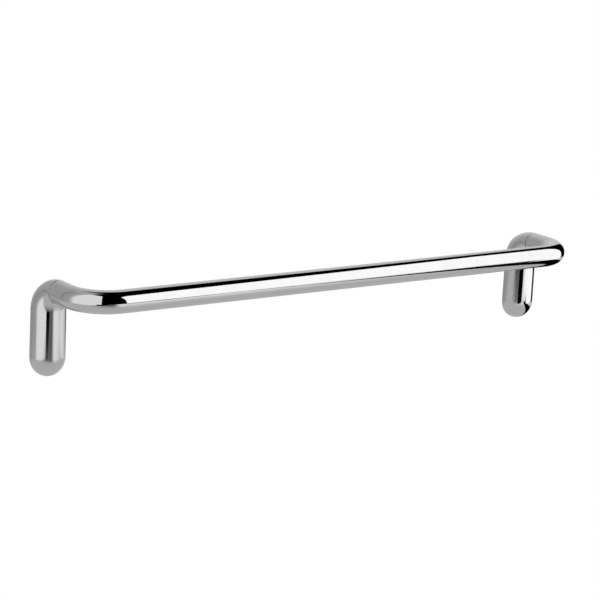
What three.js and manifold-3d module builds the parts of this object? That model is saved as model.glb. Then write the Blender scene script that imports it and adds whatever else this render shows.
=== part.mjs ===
// A wall-mounted grab rail: one bent tube carried by two cast posts.
//
// Frame, in millimetres: the wall is the plane y = 0 and the rail stands out towards -Y.
// +X runs along the rail and +Z is up. The origin is on the wall, midway between the posts,
// level with the axis of the tube.
//
// Each post is a round upright, cut flat by the wall, that bends forward at its top into a mouth
// of the tube's own diameter. It is hollow behind, hooks on a wall plate, and a set screw under
// its lower end locks it there. A plug in each tube end enters the mouth, and a tie screw driven
// from inside the hollow post pulls the two together on a thin isolating ring.

import * as THREE from 'three';
import { mergeVertices } from 'three/addons/utils/BufferGeometryUtils.js';
import { ParametricGeometry } from 'three/addons/geometries/ParametricGeometry.js';
import Module from 'manifold-3d';

// ---- driving dimensions --------------------------------------------------------------------

const TUBE_RADIUS = 11;            // outside radius of the rail tube
const TUBE_WALL = 1.5;
const POST_SPACING = 566;          // between the axes of the two legs
const STAND_OFF = 80.7;            // wall to the axis of the long bar
const BEND_RADIUS = 34;            // on the tube's axis

const POST_RADIUS_TOP = 16.8;      // the upright tapers: this is level with the elbow
const POST_RADIUS_LOW = 17;        // and this is where the rounded lower end begins
const POST_AXIS_OUT = 5.3;         // the upright's axis stands this far in front of the wall
const POST_LOW_Z = -65.6;          // where the rounded lower end begins
const POST_END_LENGTH = 19.1;      // length of the rounded lower end
const ELBOW_Z = -20;               // where the upright begins to bend forward
const SEAM_OUT = 25.8;             // wall to the joint between post and tube
const SEAM_WIDTH = 0.8;            // width of that joint
const SHELL = 2.6;                 // wall of the hollow post

const GASKET_THICKNESS = 1;
const GASKET_INSET = 0.8;          // gasket edge inside the post's outline
const SOCKET_DEPTH = 7;            // how deep the plug's spigot goes into the mouth
const WEB = 3;                     // web behind the socket that the tie screw clamps
const SPIGOT_RADIUS = 7;
const PLUG_LENGTH = 16;            // inside the tube
const TIE_HOLE_LENGTH = 20;        // blind tapped hole in the plug

const TIE_RADIUS = 2.5;            // M5
const TIE_HEAD_RADIUS = 4.25;
const TIE_HEAD_HEIGHT = 5;
const TIE_LENGTH = 20;
const TIE_KEY = 4;                 // across flats
const FLAT_WASHER = { radius: 5, thickness: 1 };
const LOCK_WASHER = { radius: 4.4, thickness: 1.2, gap: 0.5 };
const KEY_PIN = { radius: 1.25, length: 7, z: 4.7 };

const PLATE_THICKNESS = 2.5;
const PLATE_HALF_WIDTH = 11;
const PLATE_TOP_Z = -14;           // underside of the hook at the plate's top
const PLATE_LOW_Z = -73;           // underside of the foot at its bottom
const PLATE_HOLES_Z = [-27, -58];
const PLATE_HOLE_RADIUS = 2.75;
const PLATE_SINK_RADIUS = 5.2;     // countersink at the plate's face
const HOOK_WIDTH = 12;
const HOOK_OUT = 12;               // reach of the hook and the foot from the wall
const LIP_HEIGHT = 3.4;            // upturned edge of the hook

const RIB_HEIGHT = 3;              // rib in the post that sits in the hook
const SET_RADIUS = 2.5;            // M5
const SET_LENGTH = 8;
const SET_KEY = 2.5;
const SET_OUT = 8.5;               // wall to the set screw's axis
const BOSS_RADIUS = 5.5;

const GAP = 0.3;                   // clearance around pins, screws and spigots
const FACE_GAP = 0.1;              // between faces that bear on each other

const TUBE_SIDES = 32;
const POST_SIDES = 32;
const SMALL_SIDES = 24;

// ---- derived places ------------------------------------------------------------------------

const HALF_SPACING = POST_SPACING / 2;
const TUBE_BORE = TUBE_RADIUS - TUBE_WALL;
const TUBE_END_Y = -SEAM_OUT - SEAM_WIDTH / 2;
const MOUTH_Y = -SEAM_OUT + SEAM_WIDTH / 2;
const POST_BACK_Y = -GASKET_THICKNESS - FACE_GAP;
const WEB_FRONT_Y = MOUTH_Y + SOCKET_DEPTH;
const WEB_BACK_Y = WEB_FRONT_Y + WEB;
const POST_BOTTOM_Z = POST_LOW_Z - POST_END_LENGTH;
const HOOK_TOP_Z = PLATE_TOP_Z + PLATE_THICKNESS;
const HOOK_INNER_OUT = HOOK_OUT - PLATE_THICKNESS;
const FAR = 200;                   // larger than a post, for cutting blocks

// ---- materials -----------------------------------------------------------------------------

const metal = (color, roughness) => new THREE.MeshStandardMaterial({ color, roughness, metalness: 1 });
const soft = (color, roughness) => new THREE.MeshStandardMaterial({ color, roughness, metalness: 0 });

const CHROME = metal(0xd9dbdc, 0.06);
const CAST_CHROME = metal(0xd6d8d9, 0.09);
const STAINLESS = metal(0xa9abad, 0.3);
const PLATE_STEEL = metal(0x9c9ea0, 0.4);
const BLACK_STEEL = metal(0x3a3b3d, 0.45);
const NYLON = soft(0x26282a, 0.5);
const RUBBER = soft(0x1b1c1d, 0.85);

// ---- solids --------------------------------------------------------------------------------

const wasm = await Module();
wasm.setup();

// A closed three.js geometry as a solid that can be cut and joined.
function solid(geometry) {
  geometry.deleteAttribute('normal');
  geometry.deleteAttribute('uv');
  const merged = mergeVertices(geometry, 1e-4);
  const corners = merged.index.array;
  const kept = [];
  for (let i = 0; i < corners.length; i += 3) {
    const [a, b, c] = corners.slice(i, i + 3);
    if (a !== b && b !== c && c !== a) kept.push(a, b, c);
  }
  return new wasm.Manifold(new wasm.Mesh({
    numProp: 3,
    vertProperties: new Float32Array(merged.attributes.position.array),
    triVerts: new Uint32Array(kept),
  }));
}

function geometryOf(manifold) {
  const mesh = manifold.getMesh();
  const geometry = new THREE.BufferGeometry();
  geometry.setAttribute('position', new THREE.BufferAttribute(new Float32Array(mesh.vertProperties), 3));
  geometry.setIndex(new THREE.BufferAttribute(new Uint32Array(mesh.triVerts), 1));
  geometry.computeVertexNormals();
  return geometry;
}

// A block between two corners.
function block(low, high) {
  const size = high.map((value, i) => value - low[i]);
  const box = new THREE.BoxGeometry(...size);
  box.translate(...low.map((value, i) => value + size[i] / 2));
  return solid(box);
}

// A round bar along Y, between two values of y, at height z.
function barAlongY(radius, lowY, highY, z = 0, sides = SMALL_SIDES) {
  const bar = new THREE.CylinderGeometry(radius, radius, highY - lowY, sides);
  bar.translate(0, (lowY + highY) / 2, z);
  return solid(bar);
}

// A round bar along Z, between two heights, at depth y.
function barAlongZ(radius, lowZ, highZ, y, sides = SMALL_SIDES) {
  const bar = new THREE.CylinderGeometry(radius, radius, highZ - lowZ, sides);
  bar.rotateX(Math.PI / 2);
  bar.translate(0, y, (lowZ + highZ) / 2);
  return solid(bar);
}

// A body turned about Y from a profile of [radius, y] points that closes on itself or on the axis.
function turned(profile, sides = SMALL_SIDES) {
  return new THREE.LatheGeometry(profile.map(([radius, y]) => new THREE.Vector2(radius, y)), sides);
}

// A flat shape, drawn in x and z, made thick from frontY back to backY.
function slab(shape, frontY, backY, curveSegments = 12) {
  const geometry = new THREE.ExtrudeGeometry(shape, {
    depth: backY - frontY, bevelEnabled: false, curveSegments,
  });
  geometry.rotateX(Math.PI / 2);
  geometry.translate(0, backY, 0);
  return geometry;
}

// ---- the rail tube -------------------------------------------------------------------------

// The tube's axis: leg, bend, bar, bend, leg. Points are taken at the ends of the straight
// stretches and evenly around each bend.
class RailAxis extends THREE.Curve {
  constructor(bendSteps) {
    super();
    this.points = [new THREE.Vector3(-HALF_SPACING, TUBE_END_Y, 0)];
    const centreX = HALF_SPACING - BEND_RADIUS;
    const centreY = -STAND_OFF + BEND_RADIUS;
    for (const side of [-1, 1]) {
      for (let i = 0; i <= bendSteps; i += 1) {
        const along = side < 0 ? i / bendSteps : 1 - i / bendSteps;
        const turn = along * Math.PI / 2;
        this.points.push(new THREE.Vector3(
          side * (centreX + BEND_RADIUS * Math.cos(turn)),
          centreY - BEND_RADIUS * Math.sin(turn),
          0,
        ));
      }
    }
    this.points.push(new THREE.Vector3(HALF_SPACING, TUBE_END_Y, 0));
    this.steps = this.points.length - 1;
  }

  getPoint(t, target = new THREE.Vector3()) {
    const place = Math.min(Math.max(t, 0), 1) * this.steps;
    const index = Math.min(Math.floor(place), this.steps - 1);
    return target.lerpVectors(this.points[index], this.points[index + 1], place - index);
  }

  // The points above are used as they are, not spread evenly along the length.
  getUtoTmapping(u) {
    return u;
  }
}

function railTube() {
  const section = new THREE.Shape();
  section.absarc(0, 0, TUBE_RADIUS, 0, 2 * Math.PI, false);
  const bore = new THREE.Path();
  bore.absarc(0, 0, TUBE_BORE, 0, 2 * Math.PI, true);
  section.holes.push(bore);
  const axis = new RailAxis(14);
  return new THREE.ExtrudeGeometry(section, {
    steps: axis.steps, extrudePath: axis, curveSegments: TUBE_SIDES / 2,
  });
}

// ---- the post ------------------------------------------------------------------------------

// The sections of the post's surface, from the tip of the lower end to the middle of the mouth.
// turn tips a section from level, in the upright, to upright, in the mouth. Both the front and the
// back of the elbow are quarter ellipses, and its round sections span the two. inset shrinks the
// body evenly.
function postSections(inset) {
  const sections = [];
  const domeSteps = 8;
  for (let i = 0; i <= domeSteps; i += 1) {
    const angle = (1 - i / domeSteps) * Math.PI / 2;
    sections.push({
      y: -POST_AXIS_OUT,
      z: POST_LOW_Z - (POST_END_LENGTH - inset) * Math.sin(angle),
      radius: (POST_RADIUS_LOW - inset) * Math.cos(angle),
      turn: 0,
    });
  }
  const elbowSteps = 14;
  for (let i = 0; i <= elbowSteps; i += 1) {
    const angle = i / elbowSteps * Math.PI / 2;
    const wide = POST_RADIUS_TOP * Math.cos(angle);
    const tall = TUBE_RADIUS * Math.sin(angle);
    sections.push({
      y: MOUTH_Y + (-POST_AXIS_OUT - MOUTH_Y) * Math.cos(angle),
      z: ELBOW_Z * (1 - Math.sin(angle)),
      radius: Math.hypot(wide, tall) - inset,
      turn: Math.atan2(tall, wide),
    });
  }
  sections.push({ ...sections.at(-1), radius: 0 });
  return sections;
}

function postBody(inset) {
  const sections = postSections(inset);
  const rows = sections.length - 1;
  const surface = (u, v, target) => {
    const { y, z, radius, turn } = sections[Math.round(v * rows)];
    const around = u * 2 * Math.PI;
    const across = radius * Math.sin(around);
    target.set(radius * Math.cos(around), y + across * Math.cos(turn), z + across * Math.sin(turn));
  };
  return solid(new ParametricGeometry(surface, POST_SIDES, rows));
}

function post() {
  const outside = postBody(0).subtract(block([-FAR, POST_BACK_Y, -FAR], [FAR, FAR, FAR]));
  const inside = postBody(SHELL);
  const floorZ = -SPIGOT_RADIUS - GAP - SHELL;
  const lowerRoom = inside.intersect(block([-FAR, -FAR, -FAR], [FAR, FAR, floorZ]));
  const upperRoom = inside.intersect(block([-FAR, WEB_BACK_Y, -FAR], [FAR, FAR, FAR]));

  const ribLowZ = HOOK_TOP_Z + GAP;
  const rib = block(
    [-FAR, -HOOK_INNER_OUT + GAP, ribLowZ],
    [FAR, -PLATE_THICKNESS - GAP, ribLowZ + RIB_HEIGHT],
  );
  const boss = barAlongZ(BOSS_RADIUS, POST_BOTTOM_Z, PLATE_LOW_Z - GAP - 2, -SET_OUT);

  return outside
    .subtract(lowerRoom)
    .subtract(upperRoom)
    .add(rib.add(boss).intersect(outside))
    .subtract(barAlongY(SPIGOT_RADIUS + GAP, MOUTH_Y - SHELL, WEB_FRONT_Y, 0, TUBE_SIDES))
    .subtract(barAlongY(TIE_RADIUS + GAP, WEB_FRONT_Y - SHELL, WEB_BACK_Y + SHELL))
    .subtract(barAlongY(KEY_PIN.radius + GAP, WEB_FRONT_Y - SHELL, WEB_BACK_Y + SHELL, KEY_PIN.z, 12))
    .subtract(barAlongZ(SET_RADIUS + GAP, POST_BOTTOM_Z - SHELL, PLATE_LOW_Z, -SET_OUT));
}

// A flat ring under the post's edge, open in the middle like the post.
function gasket() {
  const sheet = block([-FAR, -GASKET_THICKNESS, -FAR], [FAR, 0, FAR]);
  return postBody(GASKET_INSET).intersect(sheet).subtract(postBody(SHELL));
}

// ---- joint between tube and post -----------------------------------------------------------

function isolatingRing() {
  const half = SEAM_WIDTH / 2 - FACE_GAP;
  const inner = SPIGOT_RADIUS + GAP;
  const outer = TUBE_RADIUS - 0.4;
  const low = -SEAM_OUT - half;
  const high = -SEAM_OUT + half;
  return turned([[inner, low], [outer, low], [outer, high], [inner, high], [inner, low]], TUBE_SIDES);
}

function tubePlug() {
  const bodyRadius = TUBE_BORE - GAP;
  const deepY = TUBE_END_Y - PLUG_LENGTH;
  const tipY = WEB_FRONT_Y - GAP;
  const hole = TIE_RADIUS + GAP;
  const chamfer = 1;
  const blank = turned([
    [0, deepY],
    [bodyRadius - chamfer, deepY],
    [bodyRadius, deepY + chamfer],
    [bodyRadius, TUBE_END_Y],
    [SPIGOT_RADIUS, TUBE_END_Y],
    [SPIGOT_RADIUS, tipY - chamfer / 2],
    [SPIGOT_RADIUS - chamfer / 2, tipY],
    [hole, tipY],
    [hole, tipY - TIE_HOLE_LENGTH],
    [0, tipY - TIE_HOLE_LENGTH - hole / 2],
  ]);
  const pinFloorY = WEB_BACK_Y - KEY_PIN.length - 2 * GAP;
  return solid(blank).subtract(barAlongY(KEY_PIN.radius + GAP, pinFloorY, tipY + SHELL, KEY_PIN.z, 12));
}

function keyPin() {
  const highY = WEB_BACK_Y - GAP;
  return barAlongY(KEY_PIN.radius, highY - KEY_PIN.length, highY, KEY_PIN.z, 12);
}

const FLAT_WASHER_Y = WEB_BACK_Y + FACE_GAP;
const LOCK_WASHER_Y = FLAT_WASHER_Y + FLAT_WASHER.thickness + FACE_GAP;
const TIE_HEAD_Y = LOCK_WASHER_Y + LOCK_WASHER.thickness + FACE_GAP;

function flatWasher() {
  const inner = TIE_RADIUS + GAP;
  const outer = FLAT_WASHER.radius;
  const low = FLAT_WASHER_Y;
  const high = low + FLAT_WASHER.thickness;
  return turned([[inner, low], [outer, low], [outer, high], [inner, high], [inner, low]]);
}

// A split ring, with its slit to one side.
function lockWasher() {
  const slit = LOCK_WASHER.gap / LOCK_WASHER.radius;
  const ring = new THREE.Shape();
  ring.absarc(0, 0, LOCK_WASHER.radius, slit, 2 * Math.PI - slit, false);
  ring.absarc(0, 0, TIE_RADIUS + GAP, 2 * Math.PI - slit, slit, true);
  ring.closePath();
  return slab(ring, LOCK_WASHER_Y, LOCK_WASHER_Y + LOCK_WASHER.thickness);
}

// A socket-head screw along Y, with its head towards the wall.
function tieScrew() {
  const headTop = TIE_HEAD_Y + TIE_HEAD_HEIGHT;
  const tip = TIE_HEAD_Y - TIE_LENGTH;
  const edge = 0.4;
  const blank = turned([
    [0, tip],
    [TIE_RADIUS - edge, tip],
    [TIE_RADIUS, tip + edge],
    [TIE_RADIUS, TIE_HEAD_Y],
    [TIE_HEAD_RADIUS, TIE_HEAD_Y],
    [TIE_HEAD_RADIUS, headTop - edge],
    [TIE_HEAD_RADIUS - edge, headTop],
    [0, headTop],
  ]);
  const keyRadius = TIE_KEY / Math.sqrt(3);
  return solid(blank).subtract(barAlongY(keyRadius, headTop - TIE_HEAD_HEIGHT / 2, headTop + 1, 0, 6));
}

// ---- wall fixing ---------------------------------------------------------------------------

// A pressed plate with round ends, a hook at its top for the post's rib, a foot at its bottom
// for the set screw, and two countersunk holes for wall screws.
function wallPlate() {
  const outline = new THREE.Shape();
  const topCentre = PLATE_TOP_Z + PLATE_THICKNESS - PLATE_HALF_WIDTH;
  const lowCentre = PLATE_LOW_Z + PLATE_HALF_WIDTH;
  outline.absarc(0, topCentre, PLATE_HALF_WIDTH, 0, Math.PI, false);
  outline.absarc(0, lowCentre, PLATE_HALF_WIDTH, Math.PI, 2 * Math.PI, false);
  outline.closePath();
  let plate = solid(slab(outline, -PLATE_THICKNESS, 0));
  const half = HOOK_WIDTH / 2;
  plate = plate
    .add(block([-half, -HOOK_OUT, PLATE_TOP_Z], [half, 0, HOOK_TOP_Z]))
    .add(block([-half, -HOOK_OUT, PLATE_TOP_Z], [half, -HOOK_INNER_OUT, HOOK_TOP_Z + LIP_HEIGHT]))
    .add(block([-half, -HOOK_OUT, PLATE_LOW_Z], [half, 0, PLATE_LOW_Z + PLATE_THICKNESS]));
  const sinkDepth = 1.4;
  for (const z of PLATE_HOLES_Z) {
    const sink = new THREE.CylinderGeometry(PLATE_HOLE_RADIUS, PLATE_SINK_RADIUS, sinkDepth, SMALL_SIDES);
    sink.translate(0, -PLATE_THICKNESS + sinkDepth / 2, z);
    plate = plate
      .subtract(barAlongY(PLATE_HOLE_RADIUS, -PLATE_THICKNESS - 1, 1, z))
      .subtract(solid(sink));
  }
  return plate;
}

// A headless screw along Z, with its key socket underneath and its tip against the foot.
function setScrew() {
  const tip = PLATE_LOW_Z - FACE_GAP;
  const low = tip - SET_LENGTH;
  const edge = 0.6;
  const blank = turned([
    [0, low],
    [SET_RADIUS - edge, low],
    [SET_RADIUS, low + edge],
    [SET_RADIUS, tip - 2 * edge],
    [SET_RADIUS - 2 * edge, tip],
    [0, tip],
  ]);
  const keyRadius = SET_KEY / Math.sqrt(3);
  const key = barAlongY(keyRadius, low - 1, low + SET_LENGTH / 3, 0, 6);
  const upright = geometryOf(solid(blank).subtract(key));
  upright.rotateX(Math.PI / 2);
  upright.translate(0, -SET_OUT, 0);
  return upright;
}

// ---- assembly ------------------------------------------------------------------------------

const group = new THREE.Group();

function addPiece(parent, name, geometry, material) {
  const mesh = new THREE.Mesh(geometry, material);
  mesh.name = name;
  parent.add(mesh);
}

addPiece(group, 'rail_tube', railTube(), CHROME);

for (const [side, x] of [['left', -HALF_SPACING], ['right', HALF_SPACING]]) {
  const end = new THREE.Group();
  end.position.x = x;
  addPiece(end, `${side}_post`, geometryOf(post()), CAST_CHROME);
  addPiece(end, `${side}_isolating_ring`, isolatingRing(), NYLON);
  addPiece(end, `${side}_tube_plug`, geometryOf(tubePlug()), STAINLESS);
  addPiece(end, `${side}_key_pin`, geometryOf(keyPin()), STAINLESS);
  addPiece(end, `${side}_flat_washer`, flatWasher(), STAINLESS);
  addPiece(end, `${side}_lock_washer`, lockWasher(), STAINLESS);
  addPiece(end, `${side}_tie_screw`, geometryOf(tieScrew()), STAINLESS);
  addPiece(end, `${side}_wall_plate`, geometryOf(wallPlate()), PLATE_STEEL);
  addPiece(end, `${side}_set_screw`, setScrew(), BLACK_STEEL);
  addPiece(end, `${side}_gasket`, geometryOf(gasket()), RUBBER);
  group.add(end);
}

export default group;
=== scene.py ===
"""A wall-mounted grab rail: a bent chrome tube on two hollow cast posts with concealed fixings.

Lengths are in millimetres until a mesh is made, in the frame of the CAD part: the wall is the
plane y = 0, the rail stands out towards -Y, +X runs along the rail and +Z is up. Each piece of an
end is made once, on the plane x = 0, and stands at both posts. The camera's distance is in
millimetres too; the studio is in metres.
"""

import math

import bmesh
import bpy
import numpy as np
from mathutils import Matrix, Vector
from mathutils.bvhtree import BVHTree


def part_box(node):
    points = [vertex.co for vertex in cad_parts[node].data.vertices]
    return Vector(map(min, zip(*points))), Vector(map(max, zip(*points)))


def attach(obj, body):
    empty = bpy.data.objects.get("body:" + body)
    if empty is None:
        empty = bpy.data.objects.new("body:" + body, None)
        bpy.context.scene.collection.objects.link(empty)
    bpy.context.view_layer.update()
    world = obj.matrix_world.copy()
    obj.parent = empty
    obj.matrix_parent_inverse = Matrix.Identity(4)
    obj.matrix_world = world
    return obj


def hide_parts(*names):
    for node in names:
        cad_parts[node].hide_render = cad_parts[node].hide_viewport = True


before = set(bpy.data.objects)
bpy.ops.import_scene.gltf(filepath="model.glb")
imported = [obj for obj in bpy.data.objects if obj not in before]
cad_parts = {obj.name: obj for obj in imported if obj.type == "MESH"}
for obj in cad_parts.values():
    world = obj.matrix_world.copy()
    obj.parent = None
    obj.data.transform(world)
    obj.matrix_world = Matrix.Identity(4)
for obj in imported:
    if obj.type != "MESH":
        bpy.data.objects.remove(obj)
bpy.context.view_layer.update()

MM = 0.001


# ---- sizes ----------------------------------------------------------------------------------

def box_mm(node):
    """A CAD node's lowest and highest corner, in millimetres."""
    low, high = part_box(node)
    return low / MM, high / MM


tube_low, tube_high = box_mm("rail_tube")
post_low, post_high = box_mm("right_post")
ring_low, ring_high = box_mm("right_isolating_ring")
plug_low, plug_high = box_mm("right_tube_plug")
pin_low, pin_high = box_mm("right_key_pin")
flat_low, flat_high = box_mm("right_flat_washer")
lock_low, lock_high = box_mm("right_lock_washer")
tie_low, tie_high = box_mm("right_tie_screw")
plate_low, plate_high = box_mm("right_wall_plate")
set_low, set_high = box_mm("right_set_screw")
gasket_low, _ = box_mm("right_gasket")

TUBE_RADIUS = (tube_high.z - tube_low.z) / 2
TUBE_WALL = 1.5
BEND_RADIUS = 34                   # of the tube's axis
LEG_X = tube_high.x - TUBE_RADIUS  # the axis of the tube's two legs, and of the posts
BAR_Y = tube_low.y + TUBE_RADIUS   # the axis of its bar
TUBE_END_Y = tube_high.y

POST_RADIUS_LOW = (post_high.x - post_low.x) / 2
POST_RADIUS_TOP = 16.8             # where the upright meets the elbow
POST_AXIS_Y = -5.3
POST_END_LENGTH = 19.1             # of the half ellipsoid below the upright
POST_LOW_Z = post_low.z + POST_END_LENGTH
POST_BACK_Y = post_high.y
MOUTH_Y = post_low.y               # the end of the post that takes the tube
ELBOW_Z = -20                      # where the upright meets the elbow
SHELL = 2.6                        # the casting's wall

GAP = 0.3                          # clearance between parts that slide together
SPIGOT_RADIUS = 7                  # of the tube plug inside the post
SOCKET_DEPTH = 7                   # from the mouth to the web
WEB = 3
WEB_FRONT_Y = MOUTH_Y + SOCKET_DEPTH
WEB_BACK_Y = WEB_FRONT_Y + WEB
SCREW_RADIUS = 2.5
SCREW_PITCH = 0.8
THREAD_DEPTH = 0.61 * SCREW_PITCH
TIE_HEAD_HEIGHT = 5
TIE_KEY = 4                        # across the flats
SET_KEY = 2.5                      # across the flats
SET_Y = (set_low.y + set_high.y) / 2
PIN_RADIUS = (pin_high.x - pin_low.x) / 2
PIN_Z = (pin_low.z + pin_high.z) / 2
PIN_SIDES = 48

PLATE_THICKNESS = 2.5
PLATE_HALF_WIDTH = (plate_high.x - plate_low.x) / 2
LIP_HEIGHT = 3.4                   # of the hook's lip above the shelf that carries the post
HOOK_TOP_Z = plate_high.z - LIP_HEIGHT
HOOK_OUT = -plate_low.y            # from the wall to the front of the hook and the foot
HOOK_HALF_WIDTH = 6
PLATE_HOLES_Z = (-27, -58)
PLATE_HOLE_RADIUS = 2.75
PLATE_SINK_RADIUS = 5.2
PLATE_SINK_DEPTH = 1.4
RIB_HEIGHT = 3
BOSS_RADIUS = 5.5
BOSS_BELOW_PLATE = 2
GASKET_INSET = 0.8                 # from the outside of the post

EDGE = 0.3                         # the rounding of the tube's and the post's mouths
FAR = 500                          # beyond every part, for cutting blocks
OVER = 1                           # how far a cutter reaches past what it cuts
MERGE_DISTANCE = 1e-7              # metres
SLIVER_LENGTH = 1e-8               # metres
CREASE_ANGLE = 35                  # degrees: faces that meet at more have a sharp edge
SCREW_CREASE_ANGLE = 28            # the same for the screws, whose threads are finer


# ---- mesh helpers ---------------------------------------------------------------------------

def new_piece(name, verts, faces, crease_angle=CREASE_ANGLE):
    """A mesh object from points in millimetres."""
    mesh = bpy.data.meshes.new(name)
    mesh.from_pydata([tuple(MM * c for c in v) for v in verts], [], faces)
    piece = bpy.data.objects.new(name, mesh)
    bpy.context.scene.collection.objects.link(piece)
    finish_surface(piece, crease_angle)
    return piece


def finish_surface(piece, crease_angle=CREASE_ANGLE):
    """Merges doubled points, turns the faces outwards, and shades them smooth except where they
    meet at more than crease_angle degrees."""
    work = bmesh.new()
    work.from_mesh(piece.data)
    bmesh.ops.remove_doubles(work, verts=work.verts, dist=MERGE_DISTANCE)
    bmesh.ops.dissolve_degenerate(work, edges=work.edges, dist=SLIVER_LENGTH)
    bmesh.ops.recalc_face_normals(work, faces=work.faces)
    if work.calc_volume(signed=True) < 0:
        bmesh.ops.reverse_faces(work, faces=work.faces)
    work.to_mesh(piece.data)
    work.free()
    piece.data.shade_smooth()
    piece.data.set_sharp_from_angle(angle=math.radians(crease_angle))


def skin(rings, loop=False, caps=False):
    """Vertices and quads of the surface through rings of equal length. With loop the last ring
    joins the first; with caps flat faces close both ends."""
    sides, count = len(rings[0]), len(rings)
    faces = []
    for i in range(count if loop else count - 1):
        a, b = i * sides, (i + 1) % count * sides
        for j in range(sides):
            k = (j + 1) % sides
            faces.append((a + j, a + k, b + k, b + j))
    if caps:
        faces.append(tuple(range(sides)))
        faces.append(tuple(range((count - 1) * sides, count * sides)))
    return np.concatenate(rings), faces


def circle(centre, across, up, radius, sides):
    """Points round a circle in the plane of the unit vectors across and up."""
    angles = np.linspace(0, 2 * math.pi, sides, endpoint=False)
    return (np.asarray(centre)[None]
            + (radius * np.cos(angles))[:, None] * np.asarray(across)[None]
            + (radius * np.sin(angles))[:, None] * np.asarray(up)[None])


def quarter(size, steps=4):
    """How far a rounded edge of that size lies inside its two faces, from one to the other."""
    turns = np.linspace(0, math.pi / 2, steps + 1)
    return [(size * (1 - math.sin(turn)), size * (1 - math.cos(turn))) for turn in turns]


def apply_modifier(piece, modifier):
    """Applies the only modifier of a piece."""
    graph = bpy.context.evaluated_depsgraph_get()
    made = bpy.data.meshes.new_from_object(piece.evaluated_get(graph))
    piece.modifiers.remove(modifier)
    old, piece.data = piece.data, made
    bpy.data.meshes.remove(old)


def join(piece, tool, operation):
    """Cuts piece with the tool (DIFFERENCE) or joins them (UNION), and deletes the tool."""
    modifier = piece.modifiers.new(operation, "BOOLEAN")
    modifier.operation = operation
    modifier.object = tool
    modifier.solver = "EXACT"
    apply_modifier(piece, modifier)
    bpy.data.objects.remove(tool, do_unlink=True)


def cut(piece, *tools):
    """Cuts piece with each tool and deletes the tools."""
    for tool in tools:
        join(piece, tool, "DIFFERENCE")


def soften(piece, width, segments=2):
    """Rounds every sharp edge."""
    modifier = piece.modifiers.new("edges", "BEVEL")
    modifier.limit_method = "ANGLE"
    modifier.angle_limit = math.radians(CREASE_ANGLE)
    modifier.width = width * MM
    modifier.segments = segments
    apply_modifier(piece, modifier)
    finish_surface(piece)


def block(low, high):
    """A box between two corners."""
    (x0, y0, z0), (x1, y1, z1) = low, high
    ring = [(x0, y0), (x1, y0), (x1, y1), (x0, y1)]
    return new_piece("block", *skin([[(x, y, z) for x, y in ring] for z in (z0, z1)], caps=True))


def fillet(points, sizes, steps=5):
    """A closed outline with its corners rounded: sizes has one radius for each point."""
    rounded = []
    for i, (corner, size) in enumerate(zip(points, sizes)):
        corner = Vector(corner)
        if not size:
            rounded.append(corner)
            continue
        before = (Vector(points[i - 1]) - corner).normalized()
        after = (Vector(points[(i + 1) % len(points)]) - corner).normalized()
        half = before.angle(after) / 2
        centre = corner + (before + after).normalized() * (size / math.sin(half))
        start = (corner + before * (size / math.tan(half)) - centre).normalized()
        end = (corner + after * (size / math.tan(half)) - centre).normalized()
        rounded += [centre + size * start.slerp(end, t / steps) for t in range(steps + 1)]
    return [tuple(p) for p in rounded]


def prism(outline, low, high, axis):
    """An outline made thick along an axis: (y, z) points along X, or (x, z) points along Y."""
    point = {"X": lambda a, b, t: (t, a, b), "Y": lambda a, b, t: (a, t, b)}[axis]
    rings = [[point(a, b, t) for a, b in outline] for t in (low, high)]
    return new_piece("prism", *skin(rings, caps=True))


def spun(name, stations, axis="Y", centre=(0, 0), sides=96, loop=False, crease_angle=CREASE_ANGLE):
    """A turned body: stations are (distance along the axis, radius), and a radius may be a
    function of the angles round the axis. centre is (x, z) for axis Y and (x, y) for axis Z."""
    angles = np.linspace(0, 2 * math.pi, sides, endpoint=False)
    rings = []
    for along, radius in stations:
        radii = radius(angles) if callable(radius) else np.full(sides, float(radius))
        a = centre[0] + radii * np.cos(angles)
        b = centre[1] + radii * np.sin(angles)
        t = np.full(sides, float(along))
        rings.append(np.stack([a, t, b] if axis == "Y" else [a, b, t], axis=1))
    return new_piece(name, *skin(rings, loop=loop), crease_angle)


def rod(radius, low, high, **where):
    """A plain round cutter."""
    return spun("rod", [(low, 0), (low, radius), (high, radius), (high, 0)], **where)


def hexagon(across_flats):
    """The radius of a hexagonal socket, as a function of the angles round its axis."""
    def radius(angles):
        from_flat = np.mod(angles, math.pi / 3) - math.pi / 6
        return across_flats / 2 / np.cos(from_flat)
    return radius


def widened(radius, by):
    """A radius that is a function of the angles, made larger."""
    return lambda angles: radius(angles) + by


def thread(low, high, taper_low=0.0, taper_high=0.0, steps_per_turn=10):
    """Stations of a screw thread between two places, tapered at its ends. Its two flanks take 0.8
    of the pitch, and its flat crest and root 0.1 each."""
    slope, crest = 1.25, 0.125

    def station(along):
        def radius(angles):
            phase = np.mod(along / SCREW_PITCH - angles / (2 * math.pi), 1)
            depth = np.clip(slope * (1 - np.abs(2 * phase - 1)) - crest, 0, 1)
            cut_in = low + taper_low - along, along - high + taper_high
            return np.minimum(SCREW_RADIUS - THREAD_DEPTH * depth, SCREW_RADIUS - max(0, *cut_in))
        return along, radius

    count = round((high - low) / SCREW_PITCH * steps_per_turn)
    return [station(along) for along in np.linspace(low, high, count + 1)]


# ---- the rail tube --------------------------------------------------------------------------

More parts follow.
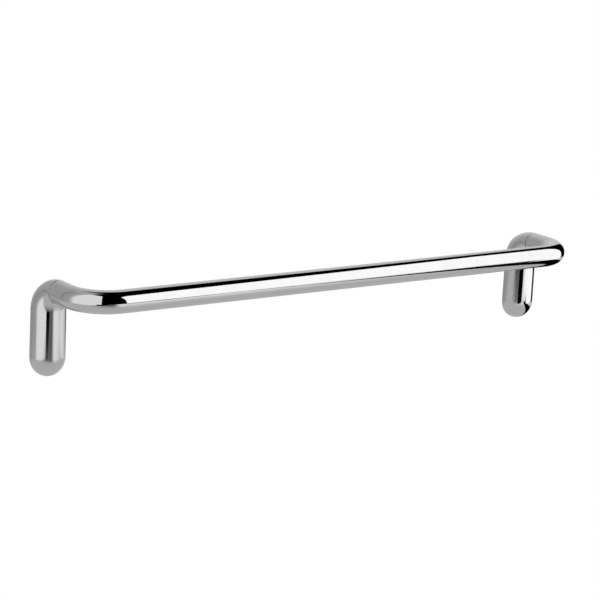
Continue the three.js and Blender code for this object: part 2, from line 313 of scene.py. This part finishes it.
def rail_stations(leg_steps=7, bend_steps=56, half_bar_steps=20):
    """(point, direction across the tube) along the tube's axis, from the left end to the right."""
    centre_x = LEG_X - BEND_RADIUS
    centre_y = BAR_Y + BEND_RADIUS
    half = [((LEG_X, y), (1, 0)) for y in np.linspace(TUBE_END_Y, centre_y, leg_steps + 1)[:-1]]
    for turn in np.linspace(0, math.pi / 2, bend_steps + 1):
        out = (math.cos(turn), -math.sin(turn))
        half.append(((centre_x + BEND_RADIUS * out[0], centre_y + BEND_RADIUS * out[1]), out))
    half += [((x, BAR_Y), (0, -1)) for x in np.linspace(centre_x, 0, half_bar_steps + 1)[1:]]
    left = [((-x, y), (-a, b)) for (x, y), (a, b) in half[:-1]]
    return left + half[::-1]


def rail_tube(sides=128):
    """The bent tube: outside, round the right end into the bore, back, and round the left end."""
    stations = rail_stations()
    bore = TUBE_RADIUS - TUBE_WALL

    def ring(station, radius, shift=0.0):
        (x, y), (a, b) = station
        return circle((x, y + shift, 0), (a, b, 0), (0, 0, 1), radius, sides)

    rounding = [(TUBE_RADIUS - inwards, -back) for inwards, back in quarter(EDGE)]
    rings = [ring(stations[0], radius, shift) for radius, shift in rounding]
    rings += [ring(station, TUBE_RADIUS) for station in stations[1:-1]]
    rings += [ring(stations[-1], radius, shift) for radius, shift in reversed(rounding)]
    rings += [ring(station, bore) for station in reversed(stations)]
    return new_piece("chrome_rail", *skin(rings, loop=True))


# ---- the posts ------------------------------------------------------------------------------

def post_sections(inset, end_steps=32, upright_steps=24, elbow_steps=48):
    """(y, z, radius, turn) of each round section, from the tip of the lower end to the mouth.
    turn tips the section from level, in the upright, to upright, in the mouth. Both the front
    and the back of the elbow are quarter ellipses, and its sections span the two."""
    upright = ELBOW_Z - POST_LOW_Z
    taper = (POST_RADIUS_LOW - POST_RADIUS_TOP) / upright

    sections = []
    for angle in np.linspace(math.pi / 2, 0, end_steps + 1):
        z = POST_LOW_Z - (POST_END_LENGTH - inset) * math.sin(angle)
        sections.append((POST_AXIS_Y, z, (POST_RADIUS_LOW - inset) * math.cos(angle), 0.0))
    for length in np.linspace(0, upright, upright_steps + 1)[1:-1]:
        radius = POST_RADIUS_LOW - taper * length
        sections.append((POST_AXIS_Y, POST_LOW_Z + length, radius - inset, 0.0))
    for angle in np.linspace(0, math.pi / 2, elbow_steps + 1):
        across, along = math.cos(angle), math.sin(angle)
        y = MOUTH_Y + (POST_AXIS_Y - MOUTH_Y) * across
        z = ELBOW_Z * (1 - along)
        radius = math.hypot(POST_RADIUS_TOP * across, TUBE_RADIUS * along)
        turn = math.atan2(TUBE_RADIUS * along, POST_RADIUS_TOP * across)
        sections.append((y, z, radius - inset, turn))
    return sections


def post_body(name, inset=0.0, edge=0.0, sides=128):
    """The closed surface through the post's sections, its mouth edge rounded."""
    sections = post_sections(inset)
    if edge:
        y, z, radius, turn = sections.pop()
        sections += [(y + back, z, radius - inwards, turn) for back, inwards in quarter(edge)]
    sections.append((sections[-1][0], sections[-1][1], 0.0, math.pi / 2))
    rings = [circle((0, y, z), (1, 0, 0), (0, math.cos(turn), math.sin(turn)), radius, sides)
             for y, z, radius, turn in sections]
    return new_piece(name, *skin(rings))


def post_casting():
    """The post, hollow behind, with the rib that hangs on the plate's hook, the boss for the set
    screw, the socket for the tube plug and the web that the tie screw clamps."""
    rib_low = HOOK_TOP_Z + GAP
    rib_front = -HOOK_OUT + PLATE_THICKNESS + GAP
    boss_low = post_low.z - OVER
    boss_top = plate_low.z - GAP - BOSS_BELOW_PLATE
    on_boss = {"axis": "Z", "centre": (0, SET_Y)}

    room = post_body("room", SHELL, sides=96)      # the space inside the shell
    cut(room,
        block((-FAR, -FAR, -SPIGOT_RADIUS - GAP - SHELL), (FAR, WEB_BACK_Y, FAR)),
        block((-FAR, rib_front, rib_low), (FAR, -PLATE_THICKNESS - GAP, rib_low + RIB_HEIGHT)),
        rod(BOSS_RADIUS, boss_low, boss_top, **on_boss))

    casting = post_body("post_casting", edge=EDGE)
    web = WEB_FRONT_Y - OVER, WEB_BACK_Y + OVER
    cut(casting,
        block((-FAR, POST_BACK_Y, -FAR), (FAR, FAR, FAR)),
        room,
        rod(SPIGOT_RADIUS + GAP, MOUTH_Y - OVER, WEB_FRONT_Y),
        rod(SCREW_RADIUS + GAP, *web),
        rod(PIN_RADIUS + GAP, *web, centre=(0, PIN_Z), sides=PIN_SIDES),
        rod(SCREW_RADIUS + GAP, boss_low, boss_top + OVER, **on_boss))
    finish_surface(casting)
    show_bare_inside(casting)
    return casting


def show_bare_inside(casting):
    """Gives the second finish to the faces inside the hollow post: those whose middle lies deeper
    than half the shell under the outer skin, apart from the rim that faces the wall."""
    skin_depth = SHELL / 2 * MM
    rim_tolerance = 0.1 * MM
    outer = post_body("outer")
    tree = BVHTree.FromObject(outer, bpy.context.evaluated_depsgraph_get())
    bpy.data.objects.remove(outer, do_unlink=True)
    for face in casting.data.polygons:
        distance = tree.find_nearest(face.center)[3]
        on_rim = abs(face.center.y - POST_BACK_Y * MM) < rim_tolerance
        face.material_index = int(distance > skin_depth and not on_rim)


def gasket():
    """A thin rubber ring between the post's rim and the wall."""
    ring = post_body("rim_gasket", GASKET_INSET)
    cut(ring,
        post_body("opening", SHELL),
        block((-FAR, -FAR, -FAR), (FAR, gasket_low.y, FAR)),
        block((-FAR, 0, -FAR), (FAR, FAR, FAR)))
    finish_surface(ring)
    return ring


# ---- joint between tube and post ------------------------------------------------------------

def ring_outline(inner, outer, low, high, edge):
    """Stations of a flat ring, all of its edges rounded."""
    corners = [(low, inner), (low, outer), (high, outer), (high, inner)]
    return fillet(corners, [edge] * 4, steps=3)


def isolating_ring():
    stations = ring_outline(SPIGOT_RADIUS + GAP, ring_high.z, ring_low.y, ring_high.y, edge=0.12)
    return spun("seam_ring", stations, loop=True)


def tube_plug(chamfer=1.0, edge=0.2, hole_chamfer=0.4, hole_depth=20, drill_tip=1.4):
    """A turned plug: its body fills the tube's end and its spigot enters the post. A blind hole in
    the spigot takes the tie screw."""
    low, high = plug_low.y, plug_high.y
    body = TUBE_RADIUS - TUBE_WALL - GAP
    hole = SCREW_RADIUS + GAP
    hole_end = high - hole_depth
    plug = spun("end_plug", [
        (low, 0), (low, body - chamfer), (low + chamfer, body),
        (TUBE_END_Y - edge, body), (TUBE_END_Y, body - edge), (TUBE_END_Y, SPIGOT_RADIUS),
        (high - chamfer / 2, SPIGOT_RADIUS), (high, SPIGOT_RADIUS - chamfer / 2),
        (high, hole + hole_chamfer), (high - hole_chamfer, hole),
        (hole_end, hole), (hole_end - drill_tip, 0),
    ])
    cut(plug, rod(PIN_RADIUS + GAP, pin_low.y - GAP, high + OVER,
                  centre=(0, PIN_Z), sides=PIN_SIDES))
    finish_surface(plug)
    return plug


def key_pin(dome=0.4, flat=0.7, bulge=0.3, dome_steps=6):
    """A dowel with domed ends, which stops the tube turning in the post. dome is an end's height;
    the share flat of its radius is flat, and the share bulge is round."""
    low = [(pin_low.y + dome * (1 - math.sin(a)), PIN_RADIUS * (flat + bulge * math.sin(a)))
           for a in np.linspace(0, math.pi / 2, dome_steps + 1)]
    high = [(pin_high.y - (y - pin_low.y), radius) for y, radius in reversed(low)]
    stations = [(pin_low.y, 0), *low, *high, (pin_high.y, 0)]
    return spun("dowel_pin", stations, centre=(0, PIN_Z), sides=PIN_SIDES)


def flat_washer():
    stations = ring_outline(SCREW_RADIUS + GAP, flat_high.z, flat_low.y, flat_high.y, edge=0.15)
    return spun("plain_washer", stations, loop=True)


def lock_washer(half_slit=0.12, rise=0.16, steps=72):
    """A split spring washer: one turn of square wire that rises from one end to the other.
    half_slit is an angle in radians."""
    inner, outer = SCREW_RADIUS + GAP, lock_high.z
    outline = ring_outline(inner, outer, lock_low.y + rise, lock_high.y, edge=0.12)
    rings = []
    for t in np.linspace(0, 1, steps + 1):
        angle = half_slit + t * (2 * math.pi - 2 * half_slit)
        rings.append([(r * math.cos(angle), y - rise * t, r * math.sin(angle)) for y, r in outline])
    return new_piece("spring_washer", *skin(rings, caps=True))


def tie_screw(flutes=30, flute_size=0.09, key_chamfer=0.25, drill_tip=0.9):
    """A socket-head screw with a rolled thread, its head towards the wall."""
    low, high, radius = tie_low.y, tie_high.y, tie_high.z
    head = high - TIE_HEAD_HEIGHT
    thread_end, neck_start, flare_start = head - 2.2, head - 1.6, head - 0.3
    neck, flare = SCREW_RADIUS - 0.05, SCREW_RADIUS + 0.2
    chamfer_end, knurl_start, knurl_end, rim_start = head + 0.3, head + 0.7, high - 0.9, high - 0.55
    chamfer, shoulder = radius - 0.45, radius - 0.12
    key_floor = high - TIE_HEAD_HEIGHT / 2
    key = hexagon(TIE_KEY)

    def knurl(angles):
        return radius - flute_size + flute_size * np.cos(flutes * angles)

    return spun("cap_screw", [
        (low, 0), *thread(low, thread_end, taper_low=0.5),
        (neck_start, neck), (flare_start, neck), (head, flare),
        (head, chamfer), (chamfer_end, shoulder), (knurl_start, knurl), (knurl_end, knurl),
        (rim_start, shoulder), (high - 0.15, radius - 0.35), (high, radius - 0.7),
        (high, widened(key, key_chamfer)), (high - key_chamfer, key),
        (key_floor, key), (key_floor - drill_tip, 0),
    ], sides=180, crease_angle=SCREW_CREASE_ANGLE)


# ---- wall fixing ----------------------------------------------------------------------------

def wall_plate(bend=0.8, edge=0.4, hook_root=9, foot_root=6, end_steps=48):
    """A pressed plate with round ends. The hook at its top carries the post's rib, the set screw
    pulls against the foot at its bottom, and its two holes are countersunk. hook_root and
    foot_root are how far the two overlap the plate."""
    thick = PLATE_THICKNESS
    ends = ((HOOK_TOP_Z - PLATE_HALF_WIDTH, 0), (plate_low.z + PLATE_HALF_WIDTH, math.pi))
    outline = [(PLATE_HALF_WIDTH * math.cos(a + start), z + PLATE_HALF_WIDTH * math.sin(a + start))
               for z, start in ends for a in np.linspace(0, math.pi, end_steps + 1)]
    plate = prism(outline, -thick, 0, "Y")

    hook_low = HOOK_TOP_Z - hook_root
    lip_back = thick - HOOK_OUT
    hook = [(0, hook_low), (0, HOOK_TOP_Z), (lip_back, HOOK_TOP_Z), (lip_back, plate_high.z),
            (-HOOK_OUT, plate_high.z), (-HOOK_OUT, HOOK_TOP_Z - thick),
            (-thick, HOOK_TOP_Z - thick), (-thick, hook_low)]
    hook_radii = [0, 0, bend, edge, edge, bend + thick, bend, 0]
    foot_top = plate_low.z + thick
    foot_high = foot_top + foot_root
    foot = [(0, foot_high), (-thick, foot_high), (-thick, foot_top), (-HOOK_OUT, foot_top),
            (-HOOK_OUT, plate_low.z), (0, plate_low.z)]
    foot_radii = [0, 0, bend, edge, edge, 0]
    for points, radii in ((hook, hook_radii), (foot, foot_radii)):
        tab = prism(fillet(points, radii), -HOOK_HALF_WIDTH, HOOK_HALF_WIDTH, "X")
        join(plate, tab, "UNION")

    before = -thick - OVER / 2
    for z in PLATE_HOLES_Z:
        cut(plate, spun("hole", [
            (before, 0), (before, PLATE_SINK_RADIUS + OVER / 2),
            (-thick + PLATE_SINK_DEPTH, PLATE_HOLE_RADIUS), (OVER, PLATE_HOLE_RADIUS), (OVER, 0),
        ], centre=(0, z)))
    plate.name = "hook_plate"
    soften(plate, width=0.18)
    return plate


def set_screw(key_depth=2.6, drill_tip=0.6, key_chamfer=0.2, cup_depth=0.5, cup_rim=0.2):
    """A headless screw: its key socket opens downwards and its cup point bears on the foot."""
    low, high = set_low.z, set_high.z
    point_start, point = high - 1.0, SCREW_RADIUS - 1.25
    key = hexagon(SET_KEY)
    return spun("grub_screw", [
        (low + key_depth + drill_tip, 0), (low + key_depth, key),
        (low + key_chamfer, key), (low, widened(key, key_chamfer)),
        *thread(low, point_start, taper_low=0.45, taper_high=0.3),
        (high, point), (high, point - cup_rim), (high - cup_depth, 0),
    ], axis="Z", centre=(0, SET_Y), crease_angle=SCREW_CREASE_ANGLE)


# ---- materials ------------------------------------------------------------------------------

class Finish:
    """A Principled material, built node by node. Coordinates are the piece's own, in metres."""

    def __init__(self, name, metallic):
        self.material = bpy.data.materials.new(name)
        self.material.use_nodes = True
        self.tree = self.material.node_tree
        self.shader = self.tree.nodes["Principled BSDF"]
        self.place = self.add("ShaderNodeTexCoord").outputs["Object"]
        self.set(self.shader, {"Metallic": metallic})

    def set(self, node, inputs):
        """Sets a node's inputs to values, or links them to other nodes' outputs."""
        for key, value in inputs.items():
            if isinstance(value, bpy.types.NodeSocket):
                self.tree.links.new(value, node.inputs[key])
            else:
                node.inputs[key].default_value = value

    def add(self, kind, inputs=None, **settings):
        """Adds a node with those settings and inputs."""
        node = self.tree.nodes.new(kind)
        for key, value in settings.items():
            setattr(node, key, value)
        self.set(node, inputs or {})
        return node

    def noise(self, grain_mm, detail=3, stretch=(1, 1, 1), vector=None):
        """Noise with grains about grain_mm wide, drawn out by stretch along x, y and z."""
        scale = tuple(1 / (grain_mm * MM * s) for s in stretch)
        spot = self.add(
            "ShaderNodeVectorMath", {0: vector or self.place, 1: scale}, operation="MULTIPLY")
        made = self.add(
            "ShaderNodeTexNoise", {"Vector": spot.outputs[0], "Scale": 1.0, "Detail": detail})
        return made.outputs["Fac"]

    def spread(self, value, low=0, high=1, start=0.3, end=0.7):
        """Maps a noise value from start and end, where most of it lies, onto low and high."""
        made = self.add("ShaderNodeMapRange", {
            "Value": value, "From Min": start, "From Max": end, "To Min": low, "To Max": high})
        return made.outputs["Result"]

    def total(self, a, b):
        """The sum of two values."""
        return self.add("ShaderNodeMath", {0: a, 1: b}, operation="ADD").outputs[0]

    def tint(self, value, dark, light):
        """A colour between dark and light."""
        colours = {"Factor": value, 6: (*dark, 1), 7: (*light, 1)}
        return self.add("ShaderNodeMix", colours, data_type="RGBA").outputs[2]

    def relief(self, height, depth_mm, under=None):
        """A bump of that depth, over another one if given."""
        inputs = {"Height": height, "Distance": depth_mm * MM}
        if under is not None:
            inputs["Normal"] = under
        return self.add("ShaderNodeBump", inputs).outputs["Normal"]

    def finish(self, base_color, roughness, normal):
        """Links the three to the shader, and gives back the material."""
        self.set(self.shader, {"Base Color": base_color, "Roughness": roughness, "Normal": normal})
        return self.material


def chrome(name, grain, roughness):
    """Bright chrome plate: faint buffing marks drawn out along grain, and a handling haze."""
    f = Finish(name, metallic=1)
    haze = f.noise(grain_mm=18)
    marks = f.noise(grain_mm=0.35, stretch=grain)
    waves = f.noise(grain_mm=9, detail=1, stretch=grain)
    return f.finish(
        base_color=f.tint(f.spread(haze), dark=(0.555, 0.557, 0.562), light=(0.585, 0.585, 0.588)),
        roughness=f.total(f.spread(haze, low=roughness * 0.6, high=roughness * 1.5),
                          f.spread(marks, low=0, high=roughness * 0.5)),
        normal=f.relief(waves, depth_mm=0.004, under=f.relief(marks, depth_mm=0.0004)),
    )


def cast_metal():
    """The unplated inside of the die-cast post: a dull, slightly grainy skin."""
    f = Finish("as_cast_metal", metallic=1)
    sand = f.noise(grain_mm=0.35, detail=4)
    cloud = f.noise(grain_mm=6, detail=2)
    return f.finish(
        base_color=f.tint(f.spread(cloud), dark=(0.24, 0.24, 0.245), light=(0.36, 0.355, 0.35)),
        roughness=f.spread(sand, low=0.48, high=0.68),
        normal=f.relief(sand, depth_mm=0.05),
    )


def turned_steel(name, axis, centre=(0, 0)):
    """Stainless steel with the fine rings that a lathe tool leaves round the axis."""
    f = Finish(name, metallic=1)
    parts = f.add("ShaderNodeSeparateXYZ", {"Vector": f.place}).outputs
    across = {"Y": ("X", "Z"), "Z": ("X", "Y")}[axis]
    legs = [f.add("ShaderNodeMath", {0: parts[key], 1: value * MM}, operation="SUBTRACT").outputs[0]
            for key, value in zip(across, centre)]
    flat = f.add("ShaderNodeCombineXYZ", {"X": legs[0], "Y": legs[1]}).outputs[0]
    radius = f.add("ShaderNodeVectorMath", {0: flat}, operation="LENGTH").outputs["Value"]
    turned = f.add("ShaderNodeCombineXYZ", {"X": radius, "Y": parts[axis]}).outputs[0]
    rings = f.noise(grain_mm=0.12, vector=turned)
    stain = f.noise(grain_mm=4)
    return f.finish(
        base_color=f.tint(f.spread(stain), dark=(0.47, 0.462, 0.45), light=(0.56, 0.557, 0.55)),
        roughness=f.spread(rings, low=0.2, high=0.36),
        normal=f.relief(rings, depth_mm=0.012),
    )


def mill_steel():
    """Stainless sheet as rolled: a fine grain along Z, a few scuffs and a soft mottle."""
    f = Finish("mill_finish_sheet", metallic=1)
    grain = f.noise(grain_mm=0.16, stretch=(1, 1, 30))
    scuffs = f.noise(grain_mm=0.5, detail=2, stretch=(14, 1, 1))
    mottle = f.noise(grain_mm=7)
    return f.finish(
        base_color=f.tint(f.spread(mottle), dark=(0.4, 0.4, 0.4), light=(0.5, 0.497, 0.49)),
        roughness=f.total(f.spread(grain, low=0.3, high=0.42),
                          f.spread(scuffs, low=0, high=0.12, start=0.62, end=0.72)),
        normal=f.relief(grain, depth_mm=0.01),
    )


def moulded(name, color, roughness, grain_mm, depth_mm, bloom_gain=1.6, roughness_range=0.06):
    """Black nylon or rubber: a fine spark-eroded texture under a faint, paler bloom."""
    f = Finish(name, metallic=0)
    texture = f.noise(grain_mm)
    bloom = f.noise(grain_mm=5, detail=2)
    return f.finish(
        base_color=f.tint(f.spread(bloom), dark=color, light=tuple(c * bloom_gain for c in color)),
        roughness=f.spread(texture, roughness - roughness_range, roughness + roughness_range),
        normal=f.relief(texture, depth_mm),
    )


RAIL_CHROME = chrome("chrome_on_tube", grain=(40, 1, 1), roughness=0.035)
POST_CHROME = chrome("chrome_on_casting", grain=(1, 1, 25), roughness=0.05)
CAST_INSIDE = cast_metal()
STEEL_ALONG_Y = turned_steel("turned_stainless_y", "Y")
STEEL_PIN = turned_steel("ground_stainless_pin", "Y", (0, PIN_Z))
STEEL_ALONG_Z = turned_steel("turned_stainless_z", "Z", (0, SET_Y))
MILL_STEEL = mill_steel()
NYLON = moulded("black_nylon", (0.018, 0.018, 0.019), roughness=0.42, grain_mm=0.12, depth_mm=0.006)
RUBBER = moulded("black_rubber", (0.014, 0.014, 0.014), roughness=0.78, grain_mm=0.2, depth_mm=0.02)


# ---- the object -----------------------------------------------------------------------------

def place(piece, finishes, node, x=0.0):
    """Puts a piece at x, with its finishes, in place of a CAD node."""
    for finish in finishes:
        piece.data.materials.append(finish)
    piece.location.x = x * MM
    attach(piece, "root")
    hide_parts(node)


# (maker, CAD node without its side, finishes, material slot)
END_PIECES = (
    (post_casting, "post", (POST_CHROME, CAST_INSIDE), "chrome_casting"),
    (isolating_ring, "isolating_ring", (NYLON,), "black_nylon"),
    (tube_plug, "tube_plug", (STEEL_ALONG_Y,), "stainless_steel"),
    (key_pin, "key_pin", (STEEL_PIN,), "stainless_steel"),
    (flat_washer, "flat_washer", (STEEL_ALONG_Y,), "stainless_steel"),
    (lock_washer, "lock_washer", (STEEL_ALONG_Y,), "stainless_steel"),
    (tie_screw, "tie_screw", (STEEL_ALONG_Y,), "stainless_steel"),
    (wall_plate, "wall_plate", (MILL_STEEL,), "pressed_stainless"),
    (set_screw, "set_screw", (STEEL_ALONG_Z,), "stainless_steel"),
    (gasket, "gasket", (RUBBER,), "black_rubber"),
)

place(rail_tube(), (RAIL_CHROME,), "rail_tube")
for maker, node, finishes, slot in END_PIECES:
    right = maker()
    left = right.copy()
    left.data = right.data.copy()
    bpy.context.scene.collection.objects.link(left)
    name = right.name
    for side, piece, x in (("left", left, -LEG_X), ("right", right, LEG_X)):
        piece.name = piece.data.name = f"{side}_{name}"
        place(piece, finishes, f"{side}_{node}", x)


# ---- camera ---------------------------------------------------------------------------------

CAMERA_YAW = 34.955                # degrees from straight on, towards the rail's left end
CAMERA_PITCH = 13.422              # degrees down
CAMERA_ROLL = 2.763
CAMERA_DISTANCE = 2190.9
CAMERA_LENS = 131.99
CAMERA_SENSOR = 36
AIM_ACROSS = 1.35                  # from the frame's origin, along the camera's own axes
AIM_UP = -39.36


def make_camera():
    yaw, pitch, roll = (math.radians(v) for v in (CAMERA_YAW, CAMERA_PITCH, CAMERA_ROLL))
    reach = math.cos(pitch)
    forward = Vector((math.sin(yaw) * reach, math.cos(yaw) * reach, -math.sin(pitch)))
    level = Vector((math.cos(yaw), -math.sin(yaw), 0))
    above = level.cross(forward)
    right = math.cos(roll) * level + math.sin(roll) * above
    up = -math.sin(roll) * level + math.cos(roll) * above
    data = bpy.data.cameras.new("camera")
    data.lens = CAMERA_LENS
    data.sensor_width = CAMERA_SENSOR
    camera = bpy.data.objects.new("camera", data)
    spot = (right * AIM_ACROSS + up * AIM_UP - forward * CAMERA_DISTANCE) * MM
    axes = Matrix((right, up, -forward)).transposed().to_4x4()
    camera.matrix_world = Matrix.Translation(spot) @ axes
    bpy.context.scene.collection.objects.link(camera)
    bpy.context.scene.camera = camera


make_camera()


# ---- the studio, in metres ------------------------------------------------------------------

def glow(name, strength, *gradients):
    """An emitting material. Each gradient is (object axis, start, end, strength from there on) and
    fades what came before it into its own strength."""
    material = bpy.data.materials.new(name)
    material.use_nodes = True
    nodes, links = material.node_tree.nodes, material.node_tree.links
    nodes.clear()
    output = nodes.new("ShaderNodeOutputMaterial")
    emission = nodes.new("ShaderNodeEmission")
    emission.inputs["Strength"].default_value = strength
    links.new(emission.outputs["Emission"], output.inputs["Surface"])
    spot = nodes.new("ShaderNodeTexCoord")
    parts = nodes.new("ShaderNodeSeparateXYZ")
    links.new(spot.outputs["Object"], parts.inputs["Vector"])
    before = None
    for axis, start, end, last in gradients:
        fade = nodes.new("ShaderNodeMapRange")
        fade.interpolation_type = "SMOOTHSTEP"
        fade.inputs["From Min"].default_value = start
        fade.inputs["From Max"].default_value = end
        fade.inputs["To Min"].default_value = strength
        fade.inputs["To Max"].default_value = last
        links.new(parts.outputs[axis], fade.inputs["Value"])
        if before:
            links.new(before, fade.inputs["To Min"])
        before = fade.outputs["Result"]
        links.new(before, emission.inputs["Strength"])
    return material


def sheet(name, corners, material, seen_by):
    """A flat stage piece that casts no shadow. seen_by is what shows it: the camera, or the
    reflections in the rail."""
    mesh = bpy.data.meshes.new(name)
    mesh.from_pydata(corners, [], [tuple(range(len(corners)))])
    mesh.materials.append(material)
    piece = bpy.data.objects.new(name, mesh)
    bpy.context.scene.collection.objects.link(piece)
    piece.visible_camera = seen_by == "camera"
    piece.visible_glossy = piece.visible_diffuse = seen_by == "rail"
    piece.visible_shadow = False


def upright_card(name, start, end, low, high, material):
    """A vertical card over the line from start to end, both (x, y), between two heights."""
    sheet(name, [(*start, low), (*end, low), (*end, high), (*start, high)], material, "rail")


def level_card(name, low, high, height, material, seen_by="rail"):
    """A horizontal card between two corners, both (x, y)."""
    (x0, y0), (x1, y1) = low, high
    corners = [(x0, y0, height), (x1, y0, height), (x1, y1, height), (x0, y1, height)]
    sheet(name, corners, material, seen_by)


TABLE_Z = -0.28
BACK_LOW_Z = -0.3
SOFTBOX_TOP_Z = 1.0
CEILING_Z = 2.4
BACKDROP_TOP_Z = 2.9
KEY_CORNER = (0.56, -0.44)
FILL_CORNER = (-0.825, -0.67)
SIDE_CORNER = (-0.95, 0.24)
BACK_CORNER = (-1.4, 1.5)
FLOOR_REACH = 30

# The rail mirrors these cards, and little else. In front, on the right: the white band along the
# bar and the white strip on the right post.
KEY = glow("key_light", 1.65)
upright_card("key_softbox", (0.15, -0.85), KEY_CORNER, -0.11, SOFTBOX_TOP_Z, KEY)
upright_card("key_softbox_side", KEY_CORNER, (0.94, -0.06), -0.21, SOFTBOX_TOP_Z, KEY)

# On the left: the pale band on the left post and the pale patch in the left bend. Between these
# cards and the key light nothing glows, which makes the black lines and patches.
FILL = glow("fill_light", 1.15, ("Y", 0.02, 0.24, 0.6), ("Z", -0.225, -0.275, 0.72))
upright_card("fill_softbox", FILL_CORNER, SIDE_CORNER, TABLE_Z, CEILING_Z, FILL)
upright_card("fill_softbox_front", (-0.69, -0.752), FILL_CORNER, -0.14, CEILING_Z, FILL)

# On the left and behind: the greys at the edges of the posts and of the tube's legs.
upright_card("side_card", SIDE_CORNER, BACK_CORNER, BACK_LOW_Z, CEILING_Z,
             glow("side_light", 0.5, ("X", -1.0, -1.3, 0.38)))
upright_card("backdrop_card", BACK_CORNER, (2.4, 1.5), BACK_LOW_Z, BACKDROP_TOP_Z,
             glow("backdrop_light", 0.5, ("X", -0.8, 1.0, 0.78)))

# Low on the right, about level with the table and below it: light for what faces down there.
upright_card("low_front_card", (0.5, -1.25), (1.0, -1.1), -0.345, -0.275, KEY)
upright_card("low_side_card", (1.6, -1.8), (1.6, 0.9), -0.64, -0.40,
             glow("low_side_light", 1.1, ("Y", -0.6, 0.9, 0.55)))

# A black card, edge-on to the left post: the black line on the right post.
upright_card("flag", (-0.016, -0.486), (0.25, -0.946), TABLE_Z, -0.13, glow("flag_black", 0.0))

# Below: the grey of the bar's underside and of the posts' round ends. Above: the bends' tops.
TABLE = glow("table_light", 0.0, ("X", -0.65, -0.62, 0.16), ("X", -0.34, -0.03, 1.16),
             ("Y", -0.9, -0.2, 0.66), ("Y", 0.2, 0.8, 0.45))
level_card("table", (-1.6, -1.9), (0.48, 1.5), TABLE_Z, TABLE)
level_card("ceiling_card", (-3.0, 0.1), (0.1, 1.5), CEILING_Z,
           glow("ceiling_light", 0.6, ("X", -0.6, 0.1, 0.0)))

# What the camera sees: a plain white floor, and the world beyond it.
level_card("floor", (-FLOOR_REACH, -FLOOR_REACH), (FLOOR_REACH, FLOOR_REACH), TABLE_Z,
           glow("floor_white", 1.0), seen_by="camera")

world = bpy.data.worlds.new("studio")
world.use_nodes = True
world.node_tree.nodes["Background"].inputs["Color"].default_value = (1, 1, 1, 1)
bpy.context.scene.world = world
world.cycles_visibility.diffuse = False
world.cycles_visibility.glossy = False
bpy.context.scene.view_settings.view_transform = "Standard"
